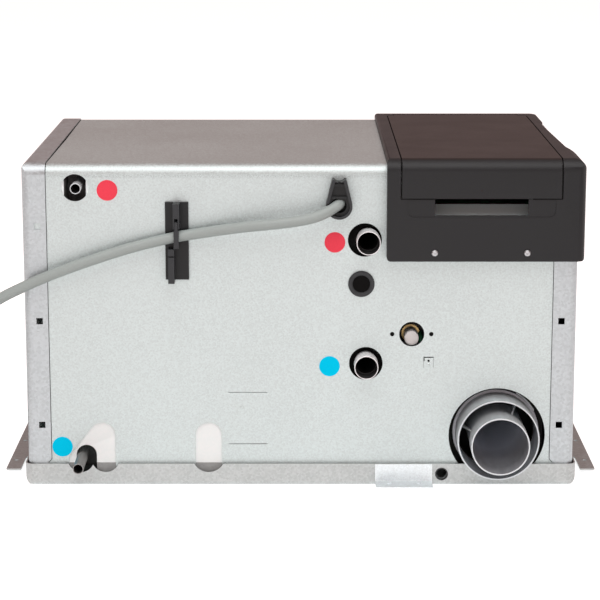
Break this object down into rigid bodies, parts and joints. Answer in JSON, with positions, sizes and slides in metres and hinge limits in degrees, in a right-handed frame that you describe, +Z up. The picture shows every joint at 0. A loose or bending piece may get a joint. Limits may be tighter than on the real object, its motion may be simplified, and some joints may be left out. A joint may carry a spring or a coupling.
{
  "type": "caravan water heater",
  "caption": "Boxy sheet-steel caravan water heater with a hinged black control cover, flue stub, pipe stubs, clipped mains cable and mounting feet; tank, burner and fan inside.",
  "frame": {"origin": "middle of the base tray's underside, on the floor", "axes": "+Z up; +X to the right along the casing's width, seen from the front; the front panel faces -Y"},
  "size_m": [0.7396, 0.386, 0.308],
  "materials": {
    "zinc_sheet": "satin",
    "tray_sheet": "satin",
    "black_plastic": "fine grain",
    "rubber": "matte",
    "cable_sheath": "satin",
    "core_insulation": "satin",
    "stainless": "bright",
    "cast_alloy": "cast",
    "red_sticker": "satin",
    "blue_sticker": "satin",
    "white_foam": "beaded foam",
    "copper": "drawn",
    "brass": "turned",
    "white_plastic": "smooth",
    "board_green": "satin"
  },
  "bodies": {
    "casing": {"base_tray": "tray_sheet", "casing_wrap": "zinc_sheet", "left_end_cap": "zinc_sheet", "right_end_cap": "zinc_sheet", "left_foot": "tray_sheet", "right_foot": "tray_sheet", "front_foot": "tray_sheet", "drain_grommet": "rubber", "control_housing": "black_plastic", "lid_pins": "stainless", "cover_screws": "stainless", "cable_gland": "black_plastic", "cable_lead": "cable_sheath", "cable_coil": "cable_sheath", "cable_cores": "core_insulation", "coil_tie": "black_plastic", "clip_base": "black_plastic", "clip_pin": "stainless", "blanking_grommet": "rubber", "flow_pipe": "stainless", "return_pipe": "stainless", "pipe_seals": "rubber", "hot_water_pipe": "stainless", "cold_water_pipe": "stainless", "red_dots": "red_sticker", "blue_dots": "blue_sticker", "intake_pipe": "stainless", "flue_pipe": "stainless", "flue_spacers": "stainless", "air_box": "zinc_sheet", "intake_duct": "black_plastic", "flue_collector": "stainless", "insulation_lower": "white_foam", "insulation_upper": "white_foam", "tank_shell": "stainless", "jacket_shell": "stainless", "heat_exchanger": "stainless", "tank_end_plate": "stainless", "end_plate_bolts": "stainless", "immersion_heaters": "copper", "burner_body": "zinc_sheet", "burner_tube": "stainless", "ignition_electrode": "white_plastic", "fan_housing": "zinc_sheet", "fan_cover": "zinc_sheet", "fan_motor": "black_plastic", "gas_inlet": "brass", "gas_inlet_cap": "white_plastic", "gas_valve": "cast_alloy", "valve_coils": "black_plastic", "gas_pipe": "copper", "control_board": "board_green", "board_components": "black_plastic", "label_plate": "white_plastic"},
    "lid": {"cover_lid": "black_plastic"},
    "clip": {"clip_strap": "black_plastic"},
    "fan": {"fan_rotor": "black_plastic"},
    "plunger_1": {"valve_plunger_1": "stainless"},
    "plunger_2": {"valve_plunger_2": "stainless"}
  },
  "joints": [
    {"name": "lid_hinge", "type": "hinge", "parent": "casing", "child": "lid", "pos_m": [0.1647, 0.1506, 0.3038], "axis": [-1, 0, 0], "range_deg": [0, 100]},
    {"name": "clip_hinge", "type": "hinge", "parent": "casing", "child": "clip", "pos_m": [-0.1132, -0.1815, 0.24894], "axis": [-1, 0, 0], "range_deg": [0, 100]},
    {"name": "fan_spin", "type": "hinge", "parent": "casing", "child": "fan", "pos_m": [0.176, 0, 0.1289], "axis": [0, 1, 0], "continuous": true},
    {"name": "plunger_1_slide", "type": "slide", "parent": "casing", "child": "plunger_1", "axis": [0, 0, 1], "range_m": [0, 0.002], "stiffness_N_per_m": 300, "springref_m": -0.002},
    {"name": "plunger_2_slide", "type": "slide", "parent": "casing", "child": "plunger_2", "axis": [0, 0, 1], "range_m": [0, 0.002], "stiffness_N_per_m": 300, "springref_m": -0.002}
  ]
}
